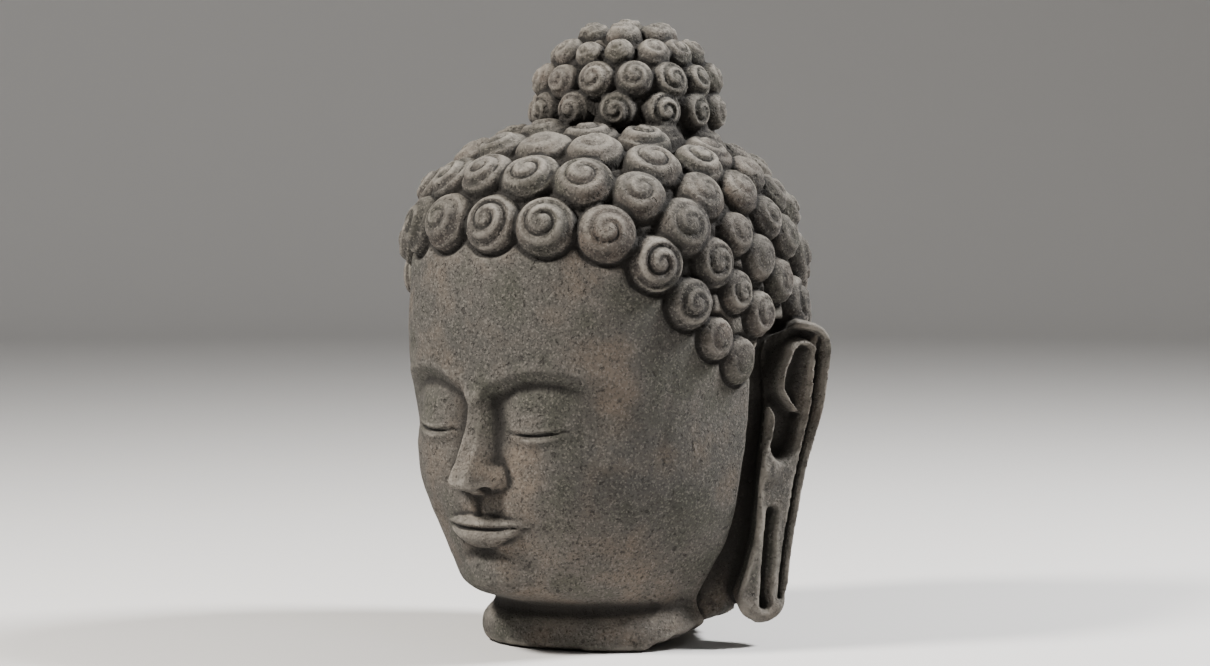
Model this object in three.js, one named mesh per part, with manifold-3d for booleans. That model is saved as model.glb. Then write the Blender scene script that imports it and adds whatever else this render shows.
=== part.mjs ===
// Head of a stone Buddha, broken off at the neck: one block of carved volcanic stone.
// Millimetres, +Z up, the face looks along -Y. The origin is the middle of the flat neck seat.
import * as THREE from "three";
import { ConvexGeometry } from "three/addons/geometries/ConvexGeometry.js";
import { mergeVertices } from "three/addons/utils/BufferGeometryUtils.js";
import Module from "manifold-3d";

const degrees = THREE.MathUtils.degToRad;

// Driving dimensions of the face: hairline to chin is three equal thirds, five eyes wide.
const THIRD = 62;
const CHIN_Z = 29;
const NOSE_BASE_Z = CHIN_Z + THIRD;
const BROW_Z = NOSE_BASE_Z + THIRD;
const EYE_Z = BROW_Z - THIRD / 3;
const MOUTH_Z = NOSE_BASE_Z - THIRD / 3;
const EYE_WIDTH = 36;

// The skull under the hair, and the bun on the crown. Powers over 2 fill their shoulders.
const SKULL = { centre: new THREE.Vector3(0, 3, 201), radii: new THREE.Vector3(98.5, 116, 82), power: 2.5 };
const BUN = { centre: new THREE.Vector3(0, 21, 290), radii: new THREE.Vector3(47, 47, 49.5), power: 2.4 };

// Level sections from the neck seat up to the widest level of the skull.
// Each is an oval whose front half has its own power: under 2 narrows the chin, over 2 fills the brow.
const WIDEST_Y = SKULL.centre.y;
const SECTIONS = [
  { z: 0, halfWidth: 71, front: -69, back: 79, power: 2 },
  { z: 13, halfWidth: 70, front: -68, back: 78, power: 2 },
  { z: CHIN_Z - 5, halfWidth: 64, front: -63, back: 75, power: 1.9 },
  { z: CHIN_Z + 6, halfWidth: 68, front: -95, back: 77, power: 1.8 },
  { z: CHIN_Z + 21, halfWidth: 76, front: -102, back: 80, power: 1.9 },
  { z: MOUTH_Z, halfWidth: 84, front: -105, back: 84, power: 2 },
  { z: NOSE_BASE_Z, halfWidth: 90, front: -108, back: 92, power: 2.1 },
  { z: EYE_Z, halfWidth: 95, front: -112, back: 110, power: 2.2 },
  { z: BROW_Z, halfWidth: 97.5, front: -114, back: 117, power: 2.25 },
  { z: 176, halfWidth: 98.5, front: -115, back: 118, power: 2.25 },
  { z: SKULL.centre.z, halfWidth: SKULL.radii.x, front: -114, back: 119, power: 2.2 },
];

// The carving of the face fades out over this stretch towards the ears.
const FACE_FADE = { from: -60, to: -15 };

// Brows: arcs over the eyes, with the sockets and the lowered lids below them.
const BROW = { lift: 4, arch: 14, middle: 40, reach: 38 };
const SOCKET = { depth: 6.5, middle: 28, reach: 46, edge: 11, floor: 16, end: 46 };
const LID = { height: 6.2, side: EYE_WIDTH, halfWidth: 0.68 * EYE_WIDTH, z: EYE_Z - 1, halfHeight: 19 };

// Nose: a bridge that rises and widens to the tip, with a wing at each side.
const BRIDGE = { top: BROW_Z - 7, length: THIRD - 13, low: 4.5, rise: 13.5 };
const BRIDGE_SIDE = { inner: 4, outer: 12, spread: 4 };
const NOSE_ROOT = { from: BROW_Z - 14, to: BROW_Z + 10 };
const NOSE_UNDER = { from: NOSE_BASE_Z - 3, to: NOSE_BASE_Z + 4 };
const WING = { height: 8.5, side: 11, halfWidth: 9, z: NOSE_BASE_Z + 6, halfHeight: 10 };
const TIP = { height: 2.2, side: 0, halfWidth: 10, z: NOSE_BASE_Z + 8, halfHeight: 10 };

// Mouth, chin and cheeks as round humps: height, half width, level and half height.
const UPPER_LIP = { height: 5, side: 0, halfWidth: 31, z: MOUTH_Z + 5, halfHeight: 8 };
const LOWER_LIP = { height: 6, side: 0, halfWidth: 26, z: MOUTH_Z - 6, halfHeight: 9 };
const MUZZLE = { height: 4.5, side: 0, halfWidth: 42, z: MOUTH_Z + 2, halfHeight: 30 };
const CHIN = { height: 6, side: 0, halfWidth: 27, z: CHIN_Z + 12, halfHeight: 17 };
const CHEEK = { height: 4.5, side: 50, halfWidth: 38, z: NOSE_BASE_Z + 6, halfHeight: 40 };

// Snail curls: rings round an axis that leans back, level over the brow and dropping at the temples.
const HAIR_LEAN = degrees(32);
const HAIRLINE_POLAR = degrees(105.5);
const HAIRLINE_BOW = degrees(4.4);
const TEMPLE_DROP = degrees(7.3);
const HAIR_ROWS = 8;
const HAIR_ROW_STEP = HAIRLINE_POLAR / (HAIR_ROWS - 1);
const CURL = { pitch: 31.3, radius: 16.1, proud: 10 };

// Every other ring starts at another share of its pitch, so that the curls stand in staggered rows.
const ROW_STYLES = [
  { phase: 0.27, pitch: 1 },
  { phase: 0.64, pitch: 0.97 },
];

// Places along a ring, from 0 over the brow to 1 at the nape, where the curls shrink and the ring drops.
const TEMPLE_SHRINK = { share: 0.22, from: 0.28, full: 0.47, leave: 0.55, to: 0.75 };
const TEMPLE_FALL = { from: 0.22, full: 0.47, leave: 0.6, to: 0.9 };

// The bun's curls, in level rings up to a single one on top. Hair curls inside the bun are left out.
const BUN_CURL = { radius: 11, proud: 8, fill: 0.53 };
const BUN_ROWS = [
  { elevation: 6, count: 12 },
  { elevation: 26, count: 13 },
  { elevation: 46, count: 12 },
  { elevation: 67, count: 6 },
  { elevation: 90, count: 1 },
];
const INSIDE_BUN = -0.13;

// Each curl is a low dome drawn by its middle and two rings, as shares of its radius.
const CURL_RINGS = [0.66, 0.97];
const CURL_SIDES = 6;

// Long ears with slit lobes, each in a plane that flares out at its back edge and leans back at its top.
// Their front and rear edges at five heights are closed by a square-shouldered top and a round lobe.
const EAR_LEVELS = [
  { v: -68, front: -17, rear: 15.5 },
  { v: -40, front: -11.5, rear: 15 },
  { v: 0, front: -13, rear: 18 },
  { v: 35, front: -14, rear: 23.5 },
  { v: 62, front: -19, rear: 25 },
];
const EAR = {
  top: 85,
  low: -83,
  topPower: 3,
  lobePower: 2.4,
  thickness: 30,
  bevel: 1.5,
  flare: degrees(20),
  lean: degrees(6.6),
  splay: degrees(3),
  middle: new THREE.Vector3(102, 26.3, 96),
  steps: 8,
};

// A gap is cut in front of each ear, and a web of stone behind it joins the lobe to the neck.
const GAP = { width: 11, floor: -28, reach: 30, closeFrom: 56, closeTo: 86, margin: 2 };
const WEB = { face: -25, depth: 48, top: 20 };

// Lines of the ear's carving: the height v and the place u towards the back.
const ANTIHELIX = [[-50, 4.6], [-20, 8.5], [7, 12], [41, 14.5], [64, 16]];
const LOOP = [[34, 8], [40, 1], [47, -4.6], [55, -4.8], [64, -2]];
const TRAGUS = [[10, -10.5], [22, -8.5], [32, -9.5]];
const LOOP_ARCH = { u: 7, v: 64, radius: 9 };
const RIDGE = 1.6;
const HOLLOW_DEPTH = 9;
const BOWL_LOW = { u: 1, v: 3 };
const SLIT = { width: 6.5, low: -72, high: -22, lowU: 0, highU: -2.4, depth: 8.5 };

// The neck is broken away on one side of its seat, on a plane that climbs outwards from a line across it.
const BREAK = { start: 22, heading: degrees(35), slope: degrees(19) };

// Dark grey-brown volcanic stone.
const STONE = { color: 0x5b5751, roughness: 0.92, metalness: 0 };

// How closely the surface is sampled: finely over the features of the face, coarsely elsewhere.
const CASTING_POINT = new THREE.Vector3(0, 0, 146);
const REACH = 260;
const CAST_STEP = 2;
const CAST_HALVINGS = 16;
const NORMAL_GAP = 0.5;
const BELOW_SEAT = -25;
const FACE_STEP = 5;
const FACE_HALF_WIDTH = 62;
const FACE_BAND = { from: CHIN_Z - 6, to: BROW_Z + 14 };
const HEAD_FILL = 1500;
const BUN_FILL = 150;
const FILL_GAP = 9;
const NECK_LEVELS = [-12, 0, 12];
const NECK_COLUMNS = 36;
const RING_SAMPLES = 180;
const SAME_POINT = 1e-4;
const SAME_DIRECTION = 1e-5;
const CROWN_TIP = 1e-3;

const wasm = await Module();
wasm.setup();

function smoothstep(from, to, value) {
  return THREE.MathUtils.smoothstep(value, from, to);
}

// Rises from 0 to 1 between two places and falls back between two later ones.
function plateau({ from, full, leave, to }, value) {
  return smoothstep(from, full, value) * (1 - smoothstep(leave, to, value));
}

// A round hump, 1 in its middle and 0 from its rim on.
function hump(across, up) {
  const square = across * across + up * up;
  return Math.max(0, 1 - square) ** 2 * (1 + square);
}

function humpAt(shape, side, z) {
  return shape.height * hump((side - shape.side) / shape.halfWidth, (z - shape.z) / shape.halfHeight);
}

// Face carving, as how far the surface stands forward of the plain oval at a place on the face.
function noseRelief(side, z) {
  const along = THREE.MathUtils.clamp((BRIDGE.top - z) / BRIDGE.length, 0, 1);
  const height = BRIDGE.low + BRIDGE.rise * along;
  const outer = BRIDGE_SIDE.outer + BRIDGE_SIDE.spread * along * along;
  const bridge = height * (1 - smoothstep(BRIDGE_SIDE.inner, outer, side));
  const tip = humpAt(TIP, side, z);
  const under = smoothstep(NOSE_UNDER.from, NOSE_UNDER.to, z);
  const root = 1 - smoothstep(NOSE_ROOT.from, NOSE_ROOT.to, z);
  return (Math.max(bridge, humpAt(WING, side, z)) + tip) * under * root;
}

function eyeRelief(side, z) {
  const brow = BROW_Z + BROW.lift - BROW.arch * ((side - BROW.middle) / BROW.reach) ** 2;
  const below = brow - z;
  const depth = SOCKET.depth * Math.max(0, 1 - ((side - SOCKET.middle) / SOCKET.reach) ** 2);
  const hollow = smoothstep(0, SOCKET.edge, below) * (1 - smoothstep(SOCKET.floor, SOCKET.end, below));
  return humpAt(LID, side, z) - depth * hollow;
}

function faceRelief(x, z) {
  const side = Math.abs(x);
  const lips = Math.max(humpAt(UPPER_LIP, side, z), humpAt(LOWER_LIP, side, z));
  const flesh = humpAt(MUZZLE, side, z) + humpAt(CHIN, side, z) + humpAt(CHEEK, side, z);
  return noseRelief(side, z) + eyeRelief(side, z) + lips + flesh;
}

// The plain oval at a level: read off the sections up to the skull's widest level, drawn in above it.
const sectionCurve = new THREE.CubicInterpolant(
  SECTIONS.map((s) => s.z),
  SECTIONS.flatMap((s) => [s.halfWidth, s.front, s.back, s.power]),
  4,
);

function ovalAt(z) {
  const rise = Math.max(0, (z - SKULL.centre.z) / SKULL.radii.z);
  const level = THREE.MathUtils.clamp(z, 0, SKULL.centre.z);
  const [halfWidth, front, back, power] = sectionCurve.evaluate(level);
  const shrink = Math.max(CROWN_TIP, 1 - rise ** SKULL.power) ** (1 / SKULL.power);
  return {
    halfWidth: halfWidth * shrink,
    frontDepth: (WIDEST_Y - front) * shrink,
    backDepth: (back - WIDEST_Y) * shrink,
    power,
  };
}

// Below 0 inside the stone and above 0 outside it, curls and ears left out.
function headField(x, y, z) {
  if (z < BELOW_SEAT || z > SKULL.centre.z + SKULL.radii.z) return 1;
  const oval = ovalAt(z);
  const forward = (1 - smoothstep(FACE_FADE.from, FACE_FADE.to, y)) * faceRelief(x, z);
  const depth = y + forward - WIDEST_Y;
  const power = depth < 0 ? oval.power : 2;
  const reach = depth < 0 ? oval.frontDepth : oval.backDepth;
  return (Math.abs(x) / oval.halfWidth) ** power + (Math.abs(depth) / reach) ** power - 1;
}

function bunField(x, y, z) {
  const offset = new THREE.Vector3(x, y, z).sub(BUN.centre).divide(BUN.radii);
  const sum = offset.toArray().reduce((total, part) => total + Math.abs(part) ** BUN.power, 0);
  return sum ** (1 / BUN.power) - 1;
}

// The outermost point of a field's solid along a ray, found by stepping in and then halving.
function cast(field, from, direction) {
  const inside = (distance) => {
    const p = direction.clone().multiplyScalar(distance).add(from);
    return field(p.x, p.y, p.z) < 0;
  };
  let outer = REACH;
  while (outer > CAST_STEP && !inside(outer - CAST_STEP)) outer -= CAST_STEP;
  let inner = outer - CAST_STEP;
  for (let i = 0; i < CAST_HALVINGS; i++) {
    const middle = (inner + outer) / 2;
    if (inside(middle)) inner = middle;
    else outer = middle;
  }
  return direction.clone().multiplyScalar(inner).add(from);
}

function normalAt(field, p) {
  const gap = NORMAL_GAP;
  return new THREE.Vector3(
    field(p.x + gap, p.y, p.z) - field(p.x - gap, p.y, p.z),
    field(p.x, p.y + gap, p.z) - field(p.x, p.y - gap, p.z),
    field(p.x, p.y, p.z + gap) - field(p.x, p.y, p.z - gap),
  ).normalize();
}

// A closed geometry as a solid that can be joined and cut.
function solidOf(geometry) {
  const bare = geometry.clone();
  bare.deleteAttribute("normal");
  bare.deleteAttribute("uv");
  const merged = mergeVertices(bare, SAME_POINT);
  return new wasm.Manifold(
    new wasm.Mesh({
      numProp: 3,
      vertProperties: new Float32Array(merged.attributes.position.array),
      triVerts: new Uint32Array(merged.index.array),
    }),
  );
}

function geometryOf(solid) {
  const mesh = solid.getMesh();
  const geometry = new THREE.BufferGeometry();
  geometry.setAttribute("position", new THREE.BufferAttribute(mesh.vertProperties, 3));
  geometry.setIndex(new THREE.BufferAttribute(mesh.triVerts, 1));
  geometry.computeVertexNormals();
  return geometry;
}

// A mirror image over the middle plane, with its faces turned back to point out.
function mirrored(geometry) {
  const copy = geometry.index ? geometry.toNonIndexed() : geometry.clone();
  copy.scale(-1, 1, 1);
  const position = copy.attributes.position;
  for (let i = 0; i < position.count; i += 3) {
    const second = new THREE.Vector3().fromBufferAttribute(position, i + 1);
    const third = new THREE.Vector3().fromBufferAttribute(position, i + 2);
    position.setXYZ(i + 1, ...third);
    position.setXYZ(i + 2, ...second);
  }
  return copy;
}

// A closed skin: directions from one inner point, joined up all round and moved out to the carved surface.
function makeSkin(directions, surfaceAt) {
  const joined = new ConvexGeometry(directions);
  joined.deleteAttribute("normal");
  const geometry = mergeVertices(joined, SAME_DIRECTION);
  const position = geometry.attributes.position;
  for (let i = 0; i < position.count; i++) {
    const direction = new THREE.Vector3().fromBufferAttribute(position, i).normalize();
    const p = surfaceAt(direction);
    position.setXYZ(i, p.x, p.y, p.z);
  }
  return solidOf(geometry);
}

// How far the curls raise the stone at a point of the bare surface.
function curlHeight(curls, p) {
  let height = 0;
  for (const { place, size } of curls) {
    const share = place.distanceTo(p) / size.radius;
    if (share < 1) height = Math.max(height, size.proud * Math.sqrt(1 - share * share));
  }
  return height;
}

// The middle of every curl and the points of its rings, apart from those a neighbour covers.
function curlPoints(curls) {
  const points = [];
  for (const curl of curls) {
    points.push(curl.place);
    const turn = new THREE.Quaternion().setFromUnitVectors(new THREE.Vector3(0, 0, 1), curl.normal);
    for (const ring of CURL_RINGS) {
      for (let i = 0; i < CURL_SIDES; i++) {
        const angle = ((i + 0.5) / CURL_SIDES) * 2 * Math.PI;
        const spoke = new THREE.Vector3(Math.cos(angle), Math.sin(angle), 0).applyQuaternion(turn);
        const point = spoke.multiplyScalar(ring * curl.size.radius).add(curl.place);
        const covered = curls.some((other) => {
          return other !== curl && other.place.distanceTo(point) < ring * other.size.radius;
        });
        if (!covered) points.push(point);
      }
    }
  }
  return points;
}

// The curls get smaller from the brow to the temples and grow again behind the ears.
function curlScale(around) {
  return 1 - TEMPLE_SHRINK.share * plateau(TEMPLE_SHRINK, Math.abs(around) / Math.PI);
}

function hairPointAt(row, around) {
  const side = Math.abs(around);
  const bow = side < Math.PI / 2 ? HAIRLINE_BOW * Math.sin(2 * side) ** 2 : 0;
  const temple = TEMPLE_DROP * plateau(TEMPLE_FALL, side / Math.PI);
  const polar = HAIRLINE_POLAR - row * HAIR_ROW_STEP + (temple - bow) * (1 - row / HAIR_ROWS);
  const pole = new THREE.Vector3(0, Math.sin(HAIR_LEAN), Math.cos(HAIR_LEAN));
  const front = new THREE.Vector3(0, -Math.cos(HAIR_LEAN), Math.sin(HAIR_LEAN));
  const direction = pole
    .multiplyScalar(Math.cos(polar))
    .addScaledVector(front, Math.sin(polar) * Math.cos(around))
    .add(new THREE.Vector3(Math.sin(polar) * Math.sin(around), 0, 0));
  return cast(headField, SKULL.centre, direction);
}

// One ring of hair curls, spaced by length in step with their size.
function hairRing(row) {
  const style = ROW_STYLES[row % ROW_STYLES.length];
  const turns = Array.from({ length: RING_SAMPLES + 1 }, (_, i) => (i / RING_SAMPLES) * Math.PI);
  const points = turns.map((around) => hairPointAt(row, around));
  const along = [0];
  for (let i = 1; i <= RING_SAMPLES; i++) {
    const pitch = CURL.pitch * style.pitch * curlScale(turns[i]);
    along.push(along[i - 1] + points[i].distanceTo(points[i - 1]) / pitch);
  }
  const half = along[RING_SAMPLES];
  const count = Math.max(1, Math.round(2 * half));
  const turnAt = new THREE.LinearInterpolant(along, turns, 1);
  return Array.from({ length: count }, (_, i) => {
    const share = (i + style.phase) / count;
    const [turn] = turnAt.evaluate(Math.min(share, 1 - share) * 2 * half);
    const around = share < 0.5 ? turn : -turn;
    const scale = curlScale(around);
    const place = hairPointAt(row, around);
    const size = { radius: CURL.radius * scale, proud: CURL.proud * scale };
    return { place, normal: normalAt(headField, place), size };
  });
}

// All the hair's curls but those under the bun and those where an ear and its gap are.
function hairCurls() {
  const rows = Array.from({ length: HAIR_ROWS }, (_, row) => hairRing(row)).flat();
  return rows.filter(({ place }) => bunField(...place) > INSIDE_BUN && !earCovers(place));
}

function bunCurls() {
  return BUN_ROWS.flatMap(({ elevation, count }, row) => {
    const rise = degrees(elevation);
    const pitch = (2 * Math.PI * BUN.radii.x * Math.cos(rise)) / count;
    const room = count > 1 ? BUN_CURL.fill * pitch : BUN_CURL.radius;
    const size = { radius: Math.min(BUN_CURL.radius, room), proud: BUN_CURL.proud };
    return Array.from({ length: count }, (_, i) => {
      const around = ((i + (row % 2 === 1 ? 0.5 : 0)) / count) * 2 * Math.PI;
      const out = new THREE.Vector3(Math.sin(around), -Math.cos(around), 0).multiplyScalar(Math.cos(rise));
      const place = cast(bunField, BUN.centre, out.setZ(Math.sin(rise)));
      return { place, normal: normalAt(bunField, place), size };
    });
  });
}

// Points over the features of the face, in staggered rows.
function facePoints() {
  const points = [];
  let staggered = false;
  for (let z = FACE_BAND.from; z < FACE_BAND.to; z += FACE_STEP) {
    const first = staggered ? FACE_STEP / 2 : 0;
    for (let x = first; x < FACE_HALF_WIDTH; x += FACE_STEP) {
      for (const side of x > 0 ? [-x, x] : [0]) {
        const start = new THREE.Vector3(side, WIDEST_Y, z);
        points.push(cast(headField, start, new THREE.Vector3(0, -1, 0)));
      }
    }
    staggered = !staggered;
  }
  return points;
}

function neckPoints() {
  return NECK_LEVELS.flatMap((z) => {
    return Array.from({ length: NECK_COLUMNS }, (_, i) => {
      const around = (i / NECK_COLUMNS) * 2 * Math.PI;
      const out = new THREE.Vector3(Math.sin(around), -Math.cos(around), 0);
      return cast(headField, new THREE.Vector3(0, 0, z), out);
    });
  });
}

// Directions spread evenly over a sphere on a golden spiral.
function evenDirections(count) {
  const goldenTurn = Math.PI * (3 - Math.sqrt(5));
  return Array.from({ length: count }, (_, i) => {
    const z = 1 - (2 * i + 1) / count;
    const level = Math.sqrt(1 - z * z);
    return new THREE.Vector3(level * Math.cos(i * goldenTurn), level * Math.sin(i * goldenTurn), z);
  });
}

// Points of the plain parts between those already set, kept clear of them.
function fillPoints(field, from, points, count) {
  return evenDirections(count)
    .map((direction) => cast(field, from, direction))
    .filter((p) => points.every((other) => other.distanceTo(p) > FILL_GAP));
}

// A closed, curl-covered solid from the points of its bare surface, which all show from one inner point.
function makeCurled(field, from, curls, ownPoints, fillCount) {
  const points = [...curlPoints(curls), ...ownPoints];
  points.push(...fillPoints(field, from, points, fillCount));
  const directions = points.map((p) => p.clone().sub(from).normalize());
  return makeSkin(directions, (direction) => {
    const p = cast(field, from, direction);
    return p.addScaledVector(normalAt(field, p), curlHeight(curls, p));
  });
}

// The ear's front and rear edges at a height, with u to the back and v up from the ear's middle.
const earCurve = new THREE.CubicInterpolant(
  EAR_LEVELS.map((level) => level.v),
  EAR_LEVELS.flatMap((level) => [level.front, level.rear]),
  2,
);

function earEdges(v) {
  const lowest = EAR_LEVELS[0].v;
  const highest = EAR_LEVELS[EAR_LEVELS.length - 1].v;
  const [front, rear] = earCurve.evaluate(THREE.MathUtils.clamp(v, lowest, highest));
  return { front, rear, middle: (front + rear) / 2, half: (rear - front) / 2, lowest, highest };
}

// Even heights between two levels, both included.
function heights(from, to) {
  return Array.from({ length: EAR.steps + 1 }, (_, i) => THREE.MathUtils.lerp(from, to, i / EAR.steps));
}

// Half of a rounded end, from one edge over to the other, without its two end points.
function roundEnd(edges, level, rise, power, startTurn) {
  return Array.from({ length: EAR.steps - 1 }, (_, i) => {
    const turn = startTurn + ((i + 1) / EAR.steps) * Math.PI;
    const across = Math.sign(Math.cos(turn)) * Math.abs(Math.cos(turn)) ** (2 / power);
    const up = Math.abs(Math.sin(turn)) ** (2 / power);
    return new THREE.Vector2(edges.middle + edges.half * across, level + rise * up);
  });
}

function earOutline() {
  const { lowest, highest } = earEdges(0);
  const levels = heights(lowest, highest);
  const lobe = roundEnd(earEdges(lowest), lowest, EAR.low - lowest, EAR.lobePower, Math.PI);
  const top = roundEnd(earEdges(highest), highest, EAR.top - highest, EAR.topPower, 0);
  const rear = levels.map((v) => new THREE.Vector2(earEdges(v).rear, v));
  const front = levels.map((v) => new THREE.Vector2(earEdges(v).front, v)).reverse();
  return new THREE.Shape([...lobe, ...rear, ...top, ...front]);
}

// The ear's front edge moved forward by the gap, and the middle line it is cut back to.
function gapOutline() {
  const levels = heights(EAR.low, GAP.closeTo);
  const front = levels.map((v) => {
    const width = GAP.width * (1 - smoothstep(GAP.closeFrom, GAP.closeTo, v));
    return new THREE.Vector2(earEdges(v).front - width, v);
  });
  const middle = levels.map((v) => new THREE.Vector2(earEdges(v).middle, v)).reverse();
  return new THREE.Shape([...front, ...middle].reverse());
}

function webOutline() {
  const levels = heights(EAR.low, WEB.top);
  const front = levels.map((v) => new THREE.Vector2(earEdges(v).front - GAP.width, v));
  const rear = levels.map((v) => new THREE.Vector2(earEdges(v).rear, v)).reverse();
  return new THREE.Shape([...front, ...rear].reverse());
}

// One of the ear's carved lines, moved sideways, as points at even heights.
function carvedLine(knots, shift, from, to) {
  const curve = new THREE.CubicInterpolant(knots.map(([v]) => v), knots.map(([, u]) => u), 1);
  return heights(from, to).map((v) => {
    const level = THREE.MathUtils.clamp(v, knots[0][0], knots[knots.length - 1][0]);
    return new THREE.Vector2(curve.evaluate(level)[0] + shift, v);
  });
}

// The hollows of the ear: the leaf inside its loop, the bowl below it and the long slit of the lobe.
function earHollows() {
  const leafLow = LOOP[1][0];
  const leafLeft = carvedLine(LOOP, RIDGE, leafLow, LOOP_ARCH.v);
  const leafRight = carvedLine(ANTIHELIX, -RIDGE, leafLow, LOOP_ARCH.v);
  const leafTop = new THREE.Vector2(LOOP_ARCH.u, LOOP_ARCH.v + LOOP_ARCH.radius - RIDGE);
  const leaf = new THREE.Shape([...leafRight, leafTop, ...leafLeft.reverse()]);
  const bowlTop = LOOP[0][0] - RIDGE;
  const bowlLow = TRAGUS[0][0];
  const bowlLeft = carvedLine(TRAGUS, RIDGE, bowlLow, bowlTop);
  const bowlRight = carvedLine(ANTIHELIX, -RIDGE, bowlLow, bowlTop);
  const bowlEnd = new THREE.Vector2(BOWL_LOW.u, BOWL_LOW.v);
  const bowl = new THREE.Shape([bowlEnd, ...bowlRight, ...bowlLeft.reverse()]);
  const slit = new THREE.Shape();
  slit.absarc(SLIT.lowU, SLIT.low, SLIT.width / 2, Math.PI, 2 * Math.PI);
  slit.absarc(SLIT.highU, SLIT.high, SLIT.width / 2, 0, Math.PI);
  return [leaf, bowl, slit];
}

// The left ear's own directions and middle: to the back, up and outward.
function earFrame() {
  const back = new THREE.Vector3(Math.sin(EAR.flare), Math.cos(EAR.flare), 0);
  const out = new THREE.Vector3(Math.cos(EAR.flare), -Math.sin(EAR.flare), 0);
  const frame = new THREE.Matrix4().makeBasis(back, new THREE.Vector3(0, 0, 1), out);
  frame.multiply(new THREE.Matrix4().makeRotationX(EAR.splay));
  frame.multiply(new THREE.Matrix4().makeRotationZ(-EAR.lean));
  return frame.setPosition(EAR.middle);
}

// Whether a place on either side lies inside the ear's outline or in the gap before it.
function earCovers(place) {
  const local = new THREE.Vector3(Math.abs(place.x), place.y, place.z).applyMatrix4(earFrame().invert());
  const edges = earEdges(local.y);
  const room = local.x < edges.middle && local.y < edges.highest ? GAP.width : GAP.margin;
  const across = Math.abs(local.x - edges.middle) < edges.half + room;
  const along = local.y > EAR.low - GAP.margin && local.y < EAR.top + GAP.margin;
  return local.z > -EAR.thickness && across && along;
}

// Both ears' solids from one outline drawn in the left ear's plane, between two depths.
function earSolids(outline, from, to, bevel = 0) {
  const slab = new THREE.ExtrudeGeometry(outline, {
    depth: to - from - 2 * bevel,
    bevelEnabled: bevel > 0,
    bevelThickness: bevel,
    bevelSize: bevel,
    bevelOffset: -bevel,
    bevelSegments: 1,
    curveSegments: EAR.steps,
  });
  slab.translate(0, 0, from + bevel);
  slab.applyMatrix4(earFrame());
  return [slab, mirrored(slab)].map(solidOf);
}

// Everything below the seat, and the wedge that broke away beside it.
function makeWaste() {
  const size = 4 * REACH;
  const under = new THREE.BoxGeometry(size, size, size);
  under.translate(0, 0, -size / 2);
  const broken = new THREE.BoxGeometry(size, size, size);
  broken.translate(0, 0, -size / 2);
  broken.rotateY(-BREAK.slope);
  broken.translate(BREAK.start, 0, 0);
  broken.rotateZ(BREAK.heading);
  return [under, broken].map(solidOf);
}

function makeHead() {
  const join = (stone, additions) => additions.reduce((sum, addition) => sum.add(addition), stone);
  const cut = (stone, wastes) => wastes.reduce((rest, waste) => rest.subtract(waste), stone);
  const plainPoints = [...facePoints(), ...neckPoints()];
  const skull = makeCurled(headField, CASTING_POINT, hairCurls(), plainPoints, HEAD_FILL);
  const bun = makeCurled(bunField, BUN.centre, bunCurls(), [], BUN_FILL);
  const gapped = cut(skull, earSolids(gapOutline(), GAP.floor, GAP.reach));
  const webbed = join(gapped, earSolids(webOutline(), -WEB.depth, WEB.face));
  const seated = cut(webbed, makeWaste());
  const joined = join(seated, [bun, ...earSolids(earOutline(), -EAR.thickness, 0, EAR.bevel)]);
  const [leaf, bowl, slit] = earHollows();
  const hollows = [leaf, bowl].flatMap((outline) => earSolids(outline, -HOLLOW_DEPTH, GAP.reach));
  const carved = cut(joined, [...hollows, ...earSolids(slit, -SLIT.depth, GAP.reach)]);
  const mesh = new THREE.Mesh(geometryOf(carved), new THREE.MeshStandardMaterial(STONE));
  mesh.name = "buddha_head";
  return mesh;
}

const statue = new THREE.Group();
statue.add(makeHead());

export default statue;
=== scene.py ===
# Head of a stone Buddha: its carved relief, its stone and the studio around it.
# Millimetres until the mesh is made, +Z up. The face looks along -Y and +X is the head's own left.
import math
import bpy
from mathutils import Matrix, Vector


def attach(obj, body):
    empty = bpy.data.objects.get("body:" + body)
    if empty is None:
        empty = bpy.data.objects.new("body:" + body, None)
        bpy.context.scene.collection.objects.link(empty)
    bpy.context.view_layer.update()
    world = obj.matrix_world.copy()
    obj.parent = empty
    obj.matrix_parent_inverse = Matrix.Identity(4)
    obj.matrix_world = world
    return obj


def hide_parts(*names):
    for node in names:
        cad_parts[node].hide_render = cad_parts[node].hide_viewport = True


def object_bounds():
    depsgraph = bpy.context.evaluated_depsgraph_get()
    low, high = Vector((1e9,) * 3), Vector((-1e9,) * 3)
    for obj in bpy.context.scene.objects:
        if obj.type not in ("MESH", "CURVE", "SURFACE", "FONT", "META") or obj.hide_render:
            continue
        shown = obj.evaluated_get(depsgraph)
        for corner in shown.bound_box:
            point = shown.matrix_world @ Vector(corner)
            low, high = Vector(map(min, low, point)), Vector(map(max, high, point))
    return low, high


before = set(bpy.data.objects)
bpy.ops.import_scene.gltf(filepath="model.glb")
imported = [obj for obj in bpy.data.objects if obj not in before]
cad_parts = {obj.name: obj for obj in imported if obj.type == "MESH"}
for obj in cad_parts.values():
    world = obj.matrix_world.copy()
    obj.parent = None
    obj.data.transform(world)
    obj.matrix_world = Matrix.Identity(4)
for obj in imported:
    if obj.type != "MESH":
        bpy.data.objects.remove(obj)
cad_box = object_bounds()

from types import SimpleNamespace as Sizes

import bpy
import numpy as np
from mathutils import Vector

MM = 0.001
TAU = 2 * math.pi

# Driving dimensions of the face: hairline to chin is three equal thirds, five eyes wide.
THIRD = 62
CHIN_Z = 29
NOSE_BASE_Z = CHIN_Z + THIRD
BROW_Z = NOSE_BASE_Z + THIRD
EYE_Z = BROW_Z - THIRD / 3
MOUTH_Z = NOSE_BASE_Z - THIRD / 3
EYE_WIDTH = 36

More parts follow.
